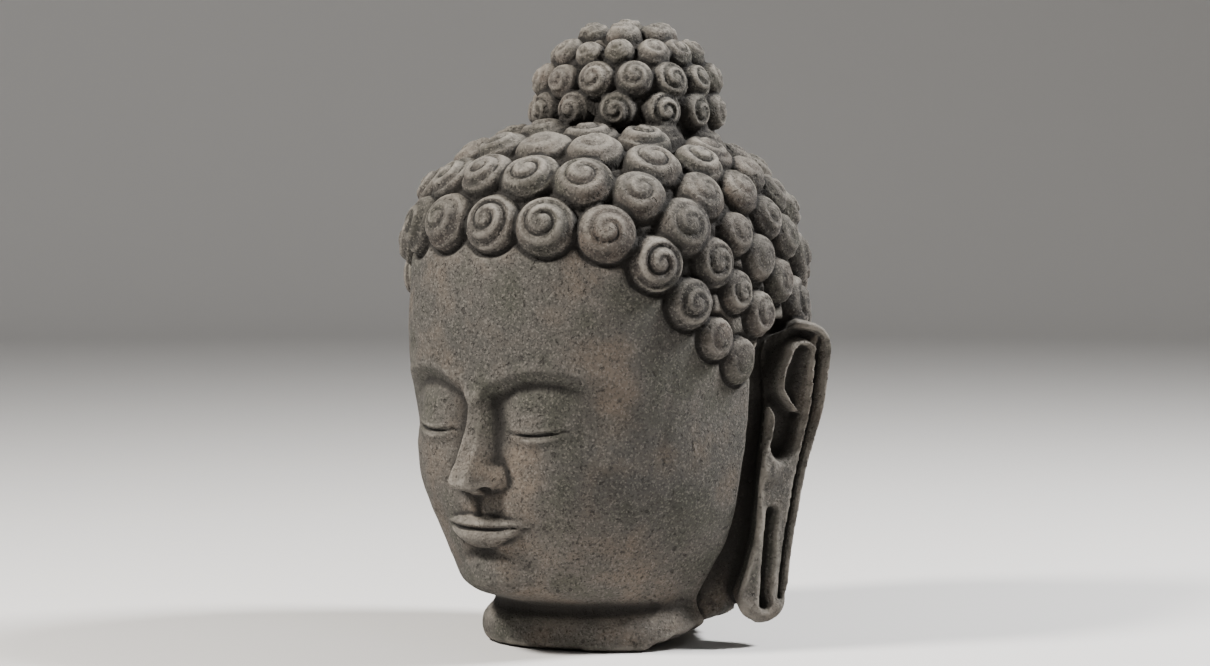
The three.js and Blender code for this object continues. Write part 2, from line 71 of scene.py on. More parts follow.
# The skull under the hair, and the bun on the crown. Powers over 2 fill their shoulders.
SKULL_CENTRE = np.array([0, 3, 201])
SKULL_RADII = np.array([98.5, 116, 82])
CROWN_POWER = 2.5
BUN_CENTRE = np.array([0, 21, 290])
BUN_RADII = np.array([47, 47, 49.5])
BUN_POWER = 2.4

# Level sections: height, half width, front, back and the power of the front half.
WIDEST_Y = SKULL_CENTRE[1]
SECTIONS = np.array([
    (0, 71, -69, 79, 2),
    (13, 70, -68, 78, 2),
    (CHIN_Z - 5, 64, -63, 75, 1.9),
    (CHIN_Z + 6, 68, -95, 77, 1.8),
    (CHIN_Z + 21, 76, -102, 80, 1.9),
    (MOUTH_Z, 84, -105, 84, 2),
    (NOSE_BASE_Z, 90, -108, 92, 2.1),
    (EYE_Z, 95, -112, 110, 2.2),
    (BROW_Z, 97.5, -114, 117, 2.25),
    (176, 98.5, -115, 118, 2.25),
    (SKULL_CENTRE[2], SKULL_RADII[0], -114, 119, 2.2),
])

# The carving of the face fades out over this stretch towards the ears.
FACE_FADE = (-60, -15)

# Brows: arcs over the eyes with a soft ridge along them, from beside the nose to the temple.
BROW = Sizes(lift=4, arch=14, middle=40, reach=38)
BROW_RIDGE = Sizes(height=1.4, rise=1.5, width=3.2, starts=(2, 14), ends=(58, 78))

# Eyes: a socket under each brow and a lowered lid over a narrow slit.
SOCKET = Sizes(depth=6.5, middle=28, reach=46, fullness=0.8, starts=(0, 11), ends=(16, 46))
LID = Sizes(reach=0.6 * EYE_WIDTH, z=EYE_Z - 6.5, sag=2.6, slant=1.2)
SLIT = Sizes(depth=2.8, height=3.2, fullness=0.6, upper=(0, 1.2), lower=(-0.5, 2.5))
LID_EDGE = Sizes(rise=1.3, width=1.6)
LOWER_EDGE = Sizes(drop=1, width=1.8)
CREASE = Sizes(rise=11.5, bend=0.8, width=1.6)

# Nose: a bridge that rises and widens to the tip, with a wing and a nostril at each side.
BRIDGE = Sizes(top=BROW_Z - 7, length=THIRD - 13, low=4.5, rise=13.5, swell=1.15)
FLANK = Sizes(inner=2.5, inner_spread=2, outer=12, outer_spread=4)
NOSE_UNDER = Sizes(z=NOSE_BASE_Z - 1.5, lift=2.5, across=(2, 12), below=2, above=5)
NOSE_ROOT = (BROW_Z - 14, BROW_Z + 10)
WING = Sizes(height=8, side=10.5, half_width=8.5, z=NOSE_BASE_Z + 6, half_height=11, fullness=0.9)
NOSTRIL = Sizes(side=7, y=-115, z=NOSE_BASE_Z, radii=np.array([3.6, 5, 3.6]), room=12)

# Mouth: two lips that meet along a line rising to its corners, under a groove from the nose.
MOUTH = Sizes(reach=30, lift=2.6, thinnest=0.5)
UPPER_LIP = Sizes(height=8.2, slope=1.7, dip=1.4, dip_width=4, proud=5, edge=2.4, fullness=0.8)
LOWER_LIP = Sizes(reach=26, height=10.5, proud=6, middle=0.42, half_height=0.6, fullness=0.65)
LIP_LINE = Sizes(depth=2.4, width=1.3, ends=(22, 31))
PHILTRUM = Sizes(depth=1.1, width=3, rim=0.6, rim_side=5, rim_width=2, foot=(0, 3))
PHILTRUM_TOP = (NOSE_BASE_Z - 7, NOSE_BASE_Z - 1)

# Round humps and hollows of the face: height, place to the side, half width, level and half height.
EYEBALL = (6.2, EYE_WIDTH, 0.68 * EYE_WIDTH, EYE_Z - 1, 19)
NOSE_TIP = (2.2, 0, 10, NOSE_BASE_Z + 8, 10)
MUZZLE = (4.5, 0, 42, MOUTH_Z + 2, 30)
MOUTH_CORNER = (-1.6, 33, 10, MOUTH_Z + 2.5, 11)
CHIN_FOLD = (-2.2, 0, 24, MOUTH_Z - 15, 7)
CHIN = (6, 0, 27, CHIN_Z + 12, 17)
CHEEK = (4.5, 50, 38, NOSE_BASE_Z + 6, 40)

# Snail curls: rings round an axis that leans back, level over the brow and dropping at the temples.
HAIR_LEAN = math.radians(32)
HAIRLINE_POLAR = math.radians(105.5)
HAIRLINE_BOW = math.radians(4.4)
HAIR_ROWS = 8
HAIR_ROW_STEP = HAIRLINE_POLAR / (HAIR_ROWS - 1)
ROW_PHASES = (0.27, 0.64)
ROW_PITCHES = (1.0, 0.97)
CURL = Sizes(radius=16.1, proud=10)
CURL_PITCH = 31.3
RING_SAMPLES = 181

# Places along a ring, from 0 over the brow to 1 at the nape, where the curls shrink and the ring drops.
TEMPLE_SHRINK = Sizes(share=0.22, starts=(0.28, 0.47), ends=(0.55, 0.75))
TEMPLE_FALL = Sizes(angle=math.radians(7.3), starts=(0.22, 0.47), ends=(0.6, 0.9))

# The bun's rings of curls: elevation in degrees and how many. Hair curls this deep in the bun are left out.
BUN_ROWS = ((6, 12), (26, 13), (46, 12), (67, 6), (90, 1))
BUN_CURL = Sizes(radius=11, proud=8)
BUN_CURL_FILL = 1.06
INSIDE_BUN = -6

# Each curl is a knob with a spiral groove, all slightly different. Distances are shares of its radius.
KNOB = Sizes(edge=2.2, fullness=0.5)
COIL = Sizes(pitch=0.43, start=0.35, turn=0.2)
COIL_CUT = Sizes(depth=3.2, fresh=0.7, wear=0.3, sharpness=2.4, starts=(0.05, 0.3), ends=(0.86, 1.0))
CURL_CHANGE = Sizes(radius=0.06, proud=0.12)
CURL_REACH = 1.5
UPRIGHT = 0.995

# The stone is sunk a little round the curls, and painted in shade where several of them meet.
CURL_SINK = 2.5
SINK_FADE = (1, 1.3)
CROWD_FADE = (1, 1.5)
CROWDED = (0.8, 1.6)
GAP_EDGE = (0, 2)
HAIR_BLEND = 4

# Long ears with slit lobes, flaring out at the back edge and leaning back at the top.
# Their front and rear edges at five heights are closed by a square-shouldered top and a round lobe.
EAR_LEVELS = np.array([(-68, -17, 15.5), (-40, -11.5, 15), (0, -13, 18), (35, -14, 23.5), (62, -19, 25)])
EAR_TOP = 85
EAR_LOW = -83
EAR_TOP_POWER = 3
EAR_LOBE_POWER = 2.4
EAR_DEPTH = 30
EAR_FLARE = math.radians(20)
EAR_LEAN = math.radians(6.6)
EAR_SPLAY = math.radians(3)
EAR_MIDDLE = np.array([102, 26.3, 96])
EAR_ROOM = np.array([45, 80, 100])
EAR_UNDERCUT = 0.5
EAR_REAR_WALL = 14
EAR_REAR = (-4, 4)
EAR_SOFT = 0.8
EAR_FILLET = 3
FACE_INSET = 0.5

# A gap is cut in front of each ear, and a web of stone behind it joins the lobe to the neck.
EAR_GAP = Sizes(width=11, floor=-28, closes=(86, 56), soft=3)
EAR_WEB = Sizes(face=-25, depth=48, soft=6, break_soft=7, fillet=8)
CURL_FREE = Sizes(below=60, margin=2, depth=40)

# Lines of the ear's carving: height, then place towards the back.
ANTIHELIX = np.array([(-50, 4.6), (-20, 8.5), (7, 12), (41, 14.5), (64, 16)])
LOOP = np.array([(34, 8), (40, 1), (47, -4.6), (55, -4.8), (64, -2)])
TRAGUS = np.array([(10, -10.5), (22, -8.5), (32, -9.5), (37, -14)])
LOOP_ARCH = Sizes(u=7, v=64, radius=9)

# Ridges along those lines: half width, height over the ear's plane and the heights they run between.
RIDGE_FALL = 9
RIDGE_OFF = 20
ANTIHELIX_RIDGE = (2.8, 0.3, 0, 64)
LOOP_RIDGE = (2.1, -0.5, 35, 64)
LOOP_SLANT = 0.85
TRAGUS_RIDGE = (2.1, 0.2, 9, 36)
ARCH_RIDGE = (2.2, -0.5)
RIM = Sizes(inset=1.6, half_width=2.6, top=0.6, behind=(-3, 3), over=(66, 74))
RIM_OVER = Sizes(inset=0.6, top=0.6, drop=13, across=(12, -12))

# Hollows of the ear: the bowl, the leaf inside the loop, and the stone in front of loop and tragus.
BOWL = Sizes(drop=0.8, depth=13, low=3, bend=0.11, middle=1, edge=(0, 9))
LEAF = Sizes(drop=2.5, depth=9, edge=(0, 10))
LOOP_FRONT = Sizes(depth=5, edge=(1, 5), starts=(34, 42))
TRAGUS_FRONT = Sizes(depth=12, edge=(1.5, 5), low=14, high=60, soft=10)
ANTITRAGUS = (3, -6.5, 8, 1, 10)

# The lobe: a long slit between two soft lines, a thick end, and a groove along the ear's whole rear rim.
EAR_SLIT = Sizes(high_u=-2.4, shift=2.4, run=(-20, -75), middle=-47, reach=25, half_width=4.2, depth=10)
SLIT_LINES = Sizes(height=0.9, rear=5.5, rear_width=2.2, front=6, front_width=3, low=-70, high=-24, soft=8)
LOBE_END = Sizes(height=2.4, run=(-66, -75))
REAR_GROOVE = Sizes(inset=5, half_width=2.2, depth=8, reach=68)
GROOVE_TOP = Sizes(inset=1.2, half_width=2.2, depth=3, run=(-10, 60))
GROOVE_LIP = 1.5
LOBE_ROUND = Sizes(drop=3.5, width=6, run=(-58, -70))
EDGE_ROUND = Sizes(drop=1.5, width=1.8)

# The neck's break: a plane that climbs outwards from a line across the seat.
BREAK_START = 22
BREAK_HEADING = math.radians(35)
BREAK_SLOPE = math.radians(19)
BREAK_BEND = 14
SEAT_FLAT = 1.2
SEAT_ROUND = 4

# The stone's unevenness: how far its waves are apart and how deep they are, also at the break.
COARSE = Sizes(spacing=15, depth=0.25, at_break=0.9)
FINE = Sizes(spacing=4.5, depth=0.12, at_break=0.5)

# Sampling of the stone, and how many triangles the carved mesh keeps.
VOXEL = 1.2
MARGIN = 9
TRIANGLES = 194000
FAR = 1000
FILL_ROUNDS = 12
FILL_DEPTH = 0.1
SETTLE_ROUNDS = 2
HALF_CELL = 0.5
LEAST_SLOPE = 0.3
CAST_START = 5.0
CAST_REACH = 200.0
CAST_HALVINGS = 26
NORMAL_GAP = 0.6
INNERMOST = 0.05
SEED = 7

# How far round a point its shelter is measured, and how deep in the ears' faces the painted shade lies.
SHADE_REACHES = (("cavity", 3.5), ("hollow", 13), ("shelter", 30))
EAR_PAINTED_SHADE = Sizes(depths=(3, 11), inset=(0, 2), off_face=(2, 5))

# Stone colours: shares of a cloudy pattern and the colours there.
STONE_STOPS = (
    (0.3, (0.038, 0.036, 0.033)),
    (0.45, (0.058, 0.054, 0.048)),
    (0.56, (0.077, 0.069, 0.06)),
    (0.7, (0.115, 0.102, 0.087)),
)
TINT_STOPS = ((0.35, (0.88, 0.93, 0.82)), (0.5, (1, 1, 1)), (0.66, (1.13, 1.02, 0.93)))
HAIR_STOPS = ((0.38, (0.44, 0.42, 0.44)), (0.62, (0.8, 0.77, 0.76)))
TINT_SHARE = 0.85
HAIR_SHARE = 0.9
# Colour of the stone's pits, also used for the painted shade in hollows, sheltered places and deep in the
# ears.
PIT_AND_SHADE_COLOUR = (0.018, 0.016, 0.014)
DUST_COLOUR = (0.25, 0.232, 0.2)
# Pale rubbed edges, partly a painted highlight on ridges and curl rims.
WORN_AND_HIGHLIGHT_COLOUR = (0.25, 0.228, 0.197)
# Near black: dirt and painted shade in grooves and between curls.
DIRT_AND_SHADE_COLOUR = (0.012, 0.011, 0.01)

# Patterns of the stone: features to a metre, detail and roughness.
CLOUDS = (15, 6, 0.6)
TINTS = (30, 4)
HAIR_CLOUDS = (26, 3)
PORES = (620, 3, 0.6)
PITS = (230, 2, 0.5)
DUST_CLOUDS = (60, 5)
WEAR_PATCHES = (75, 4)
ROUGH_GRAIN = (420, 6, 0.65)
GRAIN_SCALE = 1000.0

# Layers of the stone: where each starts and is full, then how much of it there is at both.
PORE_SPAN = (0.57, 0.7)
PIT_SPAN = (0.65, 0.73)
PORE_SHARE = 0.75
PIT_SHARE = 0.7
PIT_DEPTH = 0.8
DUST_SLOPE = (0.15, 0.95)
DUST_SPAN = (0.35, 0.65, 0.04, 0.42)
# Rubbed edges that are also a painted highlight on ridges and curl rims.
WORN_AND_HIGHLIGHT_SPAN = (0.46, 0.33, 0, 0.56)
WEAR_SPAN = (0.38, 0.6, 0.35, 1)
# Dirt and painted shade in grooves and in the gaps between curls.
DIRT_AND_SHADE_SPANS = (("cavity", 0.505, 0.61, 0, 0.95), ("gaps", 0.1, 0.7, 0, 0.9))
# Painted shade: darkening in hollows, under overhangs such as the jaw, and deep in the ears' carving.
SHADE_SPANS = (("hollow", 0.5, 0.68, 0, 0.85), ("shelter", 0.5, 0.64, 0, 0.8), ("ear_painted_shade", 0, 1, 0, 0.8))

# Mineral grains: the channel of chance that picks them, their span and their colour.
GRAINS = (
    ("Red", (0.65, 0.98, 0, 0.3), (0.2, 0.182, 0.158)),
    ("Green", (0.65, 0.98, 0, 0.5), (0.024, 0.022, 0.02)),
)

# The studio in metres: a round pale floor that turns up into a wall.
STUDIO_FLOOR = 3.2
STUDIO_BEND = 1.4
STUDIO_HEIGHT = 3.5
STUDIO_SIDES = 96
STUDIO_STEPS = 16
FLOOR_COLOUR = (0.57, 0.56, 0.55, 1)
FLOOR_ROUGHNESS = 0.85
SKY_COLOUR = (0.9, 0.95, 1.0, 1)
SKY_STRENGTH = 0.05

# Lights: name, degrees right of the camera and above the level, metres away and wide, watts, colour.
LIGHT_AIM = Vector((0, 0, 0.18))
LIGHTS = (
    ("key", -60, 43, 1.7, 0.32, 76, (1, 0.96, 0.9)),
    ("rim", 94, 46, 1.8, 0.4, 96, (1, 1, 1)),
    ("fill", 30, 40, 2.4, 0.8, 4, (1, 1, 1)),
)

# The photograph's frame and the view it was taken from, in degrees and metres.
PHOTO_WIDTH = 1210
MM_PER_PIXEL = 0.56
VIEW_AIM = Vector((0, 0, 0.171))
VIEW_AZIMUTH = 38
VIEW_ELEVATION = 3
VIEW_DISTANCE = 2.0
SENSOR_WIDTH = 36

random = np.random.default_rng(SEED)


# Shaping functions

def ease(start, end, value):
    """Rises smoothly from 0 at one value to 1 at another."""
    share = np.clip((value - start) / (end - start), 0, 1)
    return share * share * (3 - 2 * share)


def plateau(shape, value):
    """Rises from 0 to 1 over one stretch and falls back over a later one."""
    return ease(*shape.starts, value) * (1 - ease(*shape.ends, value))


def between(low, high, value, soft=3):
    """1 between two limits and 0 outside them, with soft ends."""
    return ease(low - soft, low, value) * (1 - ease(high, high + soft, value))


def hump(shape, side, z):
    """A round hump or hollow of a listed shape, 0 from its rim on."""
    height, middle, half_width, level, half_height = shape
    square = ((side - middle) / half_width) ** 2 + ((z - level) / half_height) ** 2
    return height * np.maximum(0, 1 - square) ** 2 * (1 + square)


def line(distance, width):
    """A soft line, 1 along its middle."""
    return np.exp(-(distance / width) ** 2)


def ridge(distance, half_width, top):
    return top - RIDGE_FALL * (distance / half_width) ** 2


def groove(distance, half_width, depth):
    return -depth * np.maximum(0, 1 - (distance / half_width) ** 2)


def soft_max(first, second, softness):
    return (first + second + np.sqrt((first - second) ** 2 + softness ** 2)) / 2


def soft_min(first, second, softness):
    return first + second - soft_max(first, second, softness)


def measured(x, y, z, middle, axes):
    """Places as distances from a middle along some directions."""
    offset = [p - m for p, m in zip((x, y, z), middle)]
    return [sum(o * a for o, a in zip(offset, axis)) for axis in axes]


# Face

def brow_height(side):
    return BROW_Z + BROW.lift - BROW.arch * ((side - BROW.middle) / BROW.reach) ** 2


def brow_relief(side, z):
    height = BROW_RIDGE.height * plateau(BROW_RIDGE, side)
    return height * line(z - brow_height(side) - BROW_RIDGE.rise, BROW_RIDGE.width)


def eye_relief(side, z):
    below = brow_height(side) - z
    reach = np.maximum(0, 1 - ((side - SOCKET.middle) / SOCKET.reach) ** 2)
    socket = -SOCKET.depth * reach ** SOCKET.fullness * plateau(SOCKET, below)
    share = np.clip((side - EYE_WIDTH) / LID.reach, -1, 1)
    open_part = 1 - share * share
    width = np.sqrt(open_part)
    lid = LID.z - LID.sag * open_part + LID.slant * share
    lower_lid = lid - SLIT.height * open_part ** SLIT.fullness
    slit = ease(*SLIT.upper, lid - z) * ease(*SLIT.lower, z - lower_lid)
    edge = line(z - lid - LID_EDGE.rise, LID_EDGE.width)
    lower_edge = line(z - lower_lid + LOWER_EDGE.drop, LOWER_EDGE.width)
    crease_rise = CREASE.rise * (1 - CREASE.bend * share * share)
    crease = line(z - lid - crease_rise, CREASE.width) * open_part
    return socket + (edge + lower_edge - SLIT.depth * slit) * width - crease


def nose_relief(side, z):
    along = np.clip((BRIDGE.top - z) / BRIDGE.length, 0, 1)
    height = BRIDGE.low + BRIDGE.rise * along ** BRIDGE.swell
    inner = FLANK.inner + FLANK.inner_spread * along
    outer = FLANK.outer + FLANK.outer_spread * along ** 2
    bridge = height * (1 - ease(inner, outer, side))
    across = (side - WING.side) / WING.half_width
    up = (z - WING.z) / WING.half_height
    wing = WING.height * np.maximum(0, 1 - across * across - up * up) ** WING.fullness
    bottom = NOSE_UNDER.z + NOSE_UNDER.lift * ease(*NOSE_UNDER.across, side)
    under = ease(bottom - NOSE_UNDER.below, bottom + NOSE_UNDER.above, z)
    root = 1 - ease(*NOSE_ROOT, z)
    return (np.hypot(bridge, wing) + hump(NOSE_TIP, side, z)) * under * root


def mouth_relief(side, z):
    share = np.clip(side / MOUTH.reach, 0, 1)
    middle = MOUTH_Z + MOUTH.lift * share ** 2
    top = middle + UPPER_LIP.height * (1 - share ** UPPER_LIP.slope)
    top = top - UPPER_LIP.dip * line(side, UPPER_LIP.dip_width)
    upper_share = (z - middle) / np.maximum(MOUTH.thinnest, top - middle)
    swell = np.maximum(0, 1 - np.maximum(0, upper_share) ** UPPER_LIP.edge) ** UPPER_LIP.fullness
    upper = np.where(upper_share >= 0, UPPER_LIP.proud * np.sqrt(1 - share ** 2) * swell, 0)
    low_share = np.clip(side / LOWER_LIP.reach, 0, 1)
    drop = np.maximum(MOUTH.thinnest, LOWER_LIP.height * (1 - low_share ** 2))
    lower_share = ((middle - z) / drop - LOWER_LIP.middle) / LOWER_LIP.half_height
    swell = np.maximum(0, 1 - lower_share ** 2) ** LOWER_LIP.fullness
    lower = LOWER_LIP.proud * np.sqrt(1 - low_share ** 2) * swell
    parting = LIP_LINE.depth * line(z - middle, LIP_LINE.width) * (1 - ease(*LIP_LINE.ends, side))
    rims = PHILTRUM.rim * line(side - PHILTRUM.rim_side, PHILTRUM.rim_width)
    philtrum = rims - PHILTRUM.depth * line(side, PHILTRUM.width)
    philtrum = philtrum * ease(*PHILTRUM.foot, z - top) * (1 - ease(*PHILTRUM_TOP, z))
    return np.maximum(upper, lower) - parting + philtrum


def face_relief(x, z):
    """How far the carving stands forward of the plain oval."""
    side = np.abs(x)
    shapes = (EYEBALL, MUZZLE, MOUTH_CORNER, CHIN_FOLD, CHIN, CHEEK)
    flesh = sum(hump(shape, side, z) for shape in shapes)
    return eye_relief(side, z) + brow_relief(side, z) + nose_relief(side, z) + mouth_relief(side, z) + flesh


# Head

def curve(knots, column, level):
    """A smooth curve through values at knots, level beyond the ends."""
    level = np.clip(level, knots[0], knots[-1])
    index = np.clip(np.searchsorted(knots, level, side="right") - 1, 0, len(knots) - 2)
    span = knots[index + 1] - knots[index]
    share = (level - knots[index]) / span
    slope = np.gradient(column, knots)
    rise = column[index + 1] - column[index]
    start = slope[index] * span - rise
    end = rise - slope[index + 1] * span
    return column[index] + share * rise + share * (1 - share) * (start * (1 - share) + end * share)


def head_field(x, y, z):
    """Roughly the distance outside the bare head, below 0 inside."""
    half_width, front, back, power = [curve(SECTIONS[:, 0], column, z) for column in SECTIONS.T[1:]]
    forward = (1 - ease(*FACE_FADE, y)) * face_relief(x, z)
    depth = y + forward - WIDEST_Y
    is_front = depth < 0
    power = np.where(is_front, power, 2)
    reach = np.where(is_front, WIDEST_Y - front, back - WIDEST_Y)
    oval = ((np.abs(x) / half_width) ** power + (np.abs(depth) / reach) ** power) ** (1 / power)
    above = np.maximum(0, z - SKULL_CENTRE[2])
    rise = (above / SKULL_RADII[2]) ** CROWN_POWER
    share = np.maximum(INNERMOST, (oval ** CROWN_POWER + rise) ** (1 / CROWN_POWER))
    return np.sqrt(x * x + depth * depth + above * above) * (1 - 1 / share)


def bun_field(x, y, z):
    """Roughly the distance outside the bare bun, below 0 inside."""
    offset = [p - c for p, c in zip((x, y, z), BUN_CENTRE)]
    share = sum(np.abs(o / r) ** BUN_POWER for o, r in zip(offset, BUN_RADII)) ** (1 / BUN_POWER)
    return np.sqrt(sum(o * o for o in offset)) * (1 - 1 / np.maximum(INNERMOST, share))


def cast(field, start, directions):
    """Where rays from inside leave a field's solid, by halving."""
    inner = np.full(len(directions), CAST_START)
    outer = np.full(len(directions), CAST_REACH)
    for _ in range(CAST_HALVINGS):
        middle = (inner + outer) / 2
        within = field(*(start + directions * middle[:, None]).T) < 0
        inner = np.where(within, middle, inner)
        outer = np.where(within, outer, middle)
    return start + directions * inner[:, None]


def normals_at(field, points):
    steps = NORMAL_GAP * np.eye(3)
    slopes = np.stack([field(*(points + s).T) - field(*(points - s).T) for s in steps], 1)
    return slopes / np.linalg.norm(slopes, axis=1, keepdims=True)


# Curls

def curl_scale(around):
    """The curls' size, smallest at the temples."""
    side = np.abs(around) / math.pi
    return 1 - TEMPLE_SHRINK.share * plateau(TEMPLE_SHRINK, side)


def hair_points(row, around):
    """Places on a ring of hair at angles round its axis, 0 over the brow."""
    side = np.abs(around) / math.pi
    bow = np.where(side < 0.5, HAIRLINE_BOW * np.sin(TAU * side) ** 2, 0)
    temple = TEMPLE_FALL.angle * plateau(TEMPLE_FALL, side)
    polar = HAIRLINE_POLAR - row * HAIR_ROW_STEP + (temple - bow) * (1 - row / HAIR_ROWS)
    pole = np.array([0, math.sin(HAIR_LEAN), math.cos(HAIR_LEAN)])
    front = np.array([0, -math.cos(HAIR_LEAN), math.sin(HAIR_LEAN)])
    directions = np.cos(polar)[:, None] * pole
    directions = directions + (np.sin(polar) * np.cos(around))[:, None] * front
    directions[:, 0] += np.sin(polar) * np.sin(around)
    return cast(head_field, SKULL_CENTRE, directions)


def hair_ring(row):
    """One ring of curls as rows of place, normal and scale, spaced in step with their size."""
    turns = np.linspace(0, math.pi, RING_SAMPLES)
    points = hair_points(row, turns)
    pitch = CURL_PITCH * ROW_PITCHES[row % len(ROW_PITCHES)]
    steps = np.linalg.norm(np.diff(points, axis=0), axis=1) / (pitch * curl_scale(turns[1:]))
    along = np.concatenate([[0], np.cumsum(steps)])
    count = max(1, round(2 * along[-1]))
    share = (np.arange(count) + ROW_PHASES[row % len(ROW_PHASES)]) / count
    turn = np.interp(np.minimum(share, 1 - share) * 2 * along[-1], along, turns)
    around = np.where(share < 0.5, turn, -turn)
    places = hair_points(row, around)
    return np.column_stack([places, normals_at(head_field, places), curl_scale(around)])


def bun_ring(row, elevation, count):
    """One level ring of the bun's curls, every other ring staggered."""
    rise = math.radians(elevation)
    level = math.cos(rise)
    around = (np.arange(count) + row % 2 / 2) / count * TAU
    height = np.full(count, math.sin(rise))
    directions = np.column_stack([np.sin(around) * level, -np.cos(around) * level, height])
    places = cast(bun_field, BUN_CENTRE, directions)
    room = math.pi * BUN_RADII[0] * level / count if count > 1 else BUN_CURL.radius
    scale = np.full(count, min(1, BUN_CURL_FILL * room / BUN_CURL.radius))
    return np.column_stack([places, normals_at(bun_field, places), scale])


def curl_height(curl, size, x, y, z):
    """A curl's height over the bare surface, and how far out on the curl a place is."""
    normal = curl[3:6]
    scale = curl[6]
    spin, wear, width, lift, slip_across, slip_along = random.uniform(-1, 1, 6)
    radius = size.radius * scale * (1 + CURL_CHANGE.radius * width)
    proud = size.proud * scale * (1 + CURL_CHANGE.proud * lift)
    side = np.array([1.0, 0, 0])
    if abs(normal[2]) <= UPRIGHT:
        side = np.cross((0, 0, 1), normal)
        side = side / np.linalg.norm(side)
    up = np.cross(normal, side)
    across, along = measured(x, y, z, curl[:3], (side, up))
    across = across - slip_across
    along = along - slip_along
    distance = np.hypot(across, along)
    share = distance / radius
    knob = proud * np.maximum(0, 1 - share ** KNOB.edge) ** KNOB.fullness
    winding = distance / (COIL.pitch * radius) + np.arctan2(along, across) / TAU
    winding = winding + COIL.start + COIL.turn * spin
    off_ridge = np.abs(2 * (winding - np.floor(winding)) - 1)
    depth = COIL_CUT.depth * scale * (COIL_CUT.fresh + COIL_CUT.wear * wear)
    cut = depth * off_ridge ** COIL_CUT.sharpness * plateau(COIL_CUT, share)
    return knob - cut, share


def with_curls(grid, bare, curls, size):
    """The surface with its curls, where the hair is, and where its gaps get painted shade."""
    raised = np.full(grid.shape, FAR, np.float32)
    near = np.zeros(grid.shape, np.float32)
    crowd = np.zeros(grid.shape, np.float32)
    room = CURL_REACH * size.radius + size.proud
    for curl in curls:
        ranges, x, y, z = grid.part(curl[:3] - room, curl[:3] + room)
        height, share = curl_height(curl, size, x, y, z)
        raised[ranges] = np.minimum(raised[ranges], np.where(share < 1, bare[ranges] - height, FAR))
        near[ranges] = np.maximum(near[ranges], 1 - ease(*SINK_FADE, share))
        crowd[ranges] += 1 - ease(*CROWD_FADE, share)
    sunk = bare + CURL_SINK * near
    gaps = ease(*CROWDED, crowd) * ease(*GAP_EDGE, raised - sunk)
    return np.minimum(sunk, raised), near, gaps


# Ears

def turned(first, second, angle):
    """Two square directions turned in their own plane, the first towards the second."""
    a = first * math.cos(angle) + second * math.sin(angle)
    b = second * math.cos(angle) - first * math.sin(angle)
    return a, b


def ear_axes():
    """The left ear's own directions: to the back, up and outward."""
    back = np.array([math.sin(EAR_FLARE), math.cos(EAR_FLARE), 0])
    out = np.array([math.cos(EAR_FLARE), -math.sin(EAR_FLARE), 0])
    up, out = turned(np.array([0, 0, 1]), out, EAR_SPLAY)
    up, back = turned(up, back, EAR_LEAN)
    return back, up, out


def ear_places(x, y, z):
    """Points of the left side in the ear's own directions."""
    return measured(x, y, z, EAR_MIDDLE, ear_axes())


def ear_inset(u, v):
    """How far inside the ear's outline a place lies, and how far behind its middle."""
    level, front, rear = EAR_LEVELS.T
    front = curve(level, front, v)
    rear = curve(level, rear, v)
    half = (rear - front) / 2
    behind = u - (rear + front) / 2
    across = np.abs(behind) / half
    power = np.where(v > 0, EAR_TOP_POWER, EAR_LOBE_POWER)
    over = (v - level[-1]) / (EAR_TOP - level[-1])
    under = (level[0] - v) / (level[0] - EAR_LOW)
    beyond = np.maximum(0, np.where(v > 0, over, under))
    share = (across ** power + beyond ** power) ** (1 / power)
    return half * (1 - share), behind


def ear_floor(u, v, antihelix, loop):
    """The ear's bowl, the leaf inside its loop and the stone in front of the loop."""
    rise = v - BOWL.low - BOWL.bend * (u - BOWL.middle) ** 2
    floor = -BOWL.drop - BOWL.depth * ease(*BOWL.edge, rise)
    front = ease(*LOOP_FRONT.edge, loop - u) * ease(*LOOP_FRONT.starts, v)
    floor = floor - LOOP_FRONT.depth * front
    in_loop = (u > loop) & (u < antihelix) & (v > LOOP[0, 0])
    return np.where(in_loop, -LEAF.drop - LEAF.depth * ease(*LEAF.edge, antihelix - u), floor)


def line_ridge(shape, distance, v):
    """A ridge along one of the ear's lines, sunk away beyond its ends."""
    half_width, top, low, high = shape
    return ridge(distance, half_width, top) - RIDGE_OFF * (1 - between(low, high, v))


def rim_ridge(u, v, inset, behind):
    """The rim along the ear's rear edge and over its top, lower towards the front."""
    over_top = ease(*RIM.over, v)
    reach = np.maximum(ease(*RIM.behind, behind), over_top)
    top = RIM.top + RIM_OVER.top * over_top - RIM_OVER.drop * ease(*RIM_OVER.across, u) * over_top
    distance = np.abs(inset - RIM.inset - RIM_OVER.inset * over_top)
    return ridge(distance, RIM.half_width + over_top, top) - RIDGE_OFF * (1 - reach)


def ear_relief(u, v):
    """How far the ear's carved face stands out from its plane."""
    inset, behind = ear_inset(u, v)
    antihelix = curve(*ANTIHELIX.T, v)
    loop = curve(*LOOP.T, v)
    tragus = curve(*TRAGUS.T, v)
    arch = np.abs(np.hypot(u - LOOP_ARCH.u, v - LOOP_ARCH.v) - LOOP_ARCH.radius)
    raised = [
        rim_ridge(u, v, inset, behind),
        line_ridge(ANTIHELIX_RIDGE, np.abs(u - antihelix), v),
        line_ridge(LOOP_RIDGE, np.abs(u - loop) * LOOP_SLANT, v),
        ridge(arch, *ARCH_RIDGE) - RIDGE_OFF * (v < LOOP_ARCH.v),
        line_ridge(TRAGUS_RIDGE, np.abs(u - tragus), v),
    ]
    face = ear_floor(u, v, antihelix, loop)
    for height in raised:
        face = np.maximum(face, height)
    before = between(TRAGUS_FRONT.low, TRAGUS_FRONT.high, v, TRAGUS_FRONT.soft)
    face = face - TRAGUS_FRONT.depth * ease(*TRAGUS_FRONT.edge, tragus - u) * before
    return cut_lobe(u, v, inset, behind, face + hump(ANTITRAGUS, u, v))


